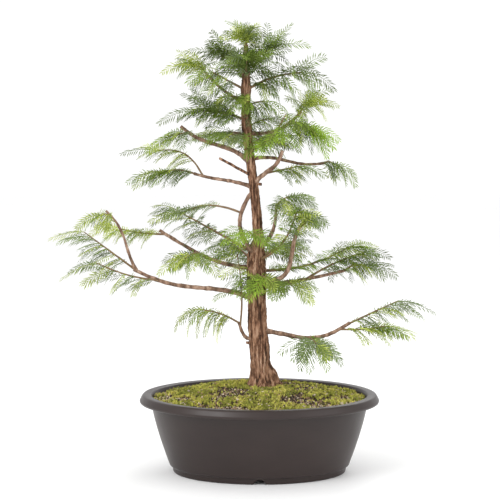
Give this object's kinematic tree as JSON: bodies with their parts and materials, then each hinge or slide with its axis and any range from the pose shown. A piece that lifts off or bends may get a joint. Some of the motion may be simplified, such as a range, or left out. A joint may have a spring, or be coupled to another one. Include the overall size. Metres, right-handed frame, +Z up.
{
  "type": "potted dawn redwood bonsai",
  "caption": "Small dawn redwood tree in an oval plastic pot: tapering trunk with flared roots, bare-based boughs with flat sprays of needles, and moss over the soil.",
  "frame": {"origin": "middle of the plant's bounding box in X and Y, on the level surface that the pot's foot stands on", "axes": "+Z up, the front of the picture towards -Y, the pot's long axis and the lowest left and right boughs along X"},
  "size_m": [0.4762, 0.2526, 0.5685],
  "materials": {
    "pot": "dark brown moulded plastic with a soft sheen",
    "soil": "moss over dark granular soil",
    "bark": "fibrous reddish-brown bark",
    "bough": "smooth pinkish-brown bark",
    "foliage": "soft matt needles, pale yellow-green to blue-green"
  },
  "bodies": {
    "root": {"back_high_mass": "foliage", "back_left_mass": "foliage", "back_right_mass": "foliage", "crest_back_mass": "foliage", "crest_front_mass": "foliage", "crest_left_mass": "foliage", "crest_mass": "foliage", "crest_right_mass": "foliage", "far_left_low_mass": "foliage", "far_left_mass": "foliage", "fork_top_mass": "foliage", "front_lower_mass": "foliage", "front_right_bough": "bough", "front_right_mass": "foliage", "front_upper_mass": "foliage", "high_left_mass": "foliage", "high_right_mass": "foliage", "inner_left_mass": "foliage", "left_spur": "bough", "loop_bough": "bough", "loop_mass": "foliage", "low_left_bough": "bough", "low_left_fork": "bough", "low_right_bough": "bough", "low_right_front_mass": "foliage", "low_right_mass": "foliage", "low_right_under_mass": "foliage", "middle_left_bough": "bough", "middle_left_mass": "foliage", "middle_left_top_mass": "foliage", "middle_right_bough": "bough", "middle_right_mass": "foliage", "pot": "pot", "right_curtain_mass": "foliage", "right_inner_mass": "foliage", "right_spike_mass": "foliage", "second_left_bough": "bough", "second_left_front_mass": "foliage", "second_left_tip_mass": "foliage", "second_right_bough": "bough", "second_right_fork_mass": "foliage", "second_right_mass": "foliage", "second_right_under_mass": "foliage", "soil": "soil", "spur_mass": "foliage", "steep_right_bough": "bough", "steep_right_mass": "foliage", "third_right_mass": "foliage", "top_left_bough": "bough", "top_left_front_mass": "foliage", "top_left_mass": "foliage", "top_right_bough": "bough", "top_right_mass": "foliage", "trunk": "bark", "upper_left_back_mass": "foliage", "upper_left_bough": "bough", "upper_left_mass": "foliage", "upper_right_bough": "bough", "upper_right_mass": "foliage", "upright_spur_mass": "foliage"}
  },
  "joints": []
}
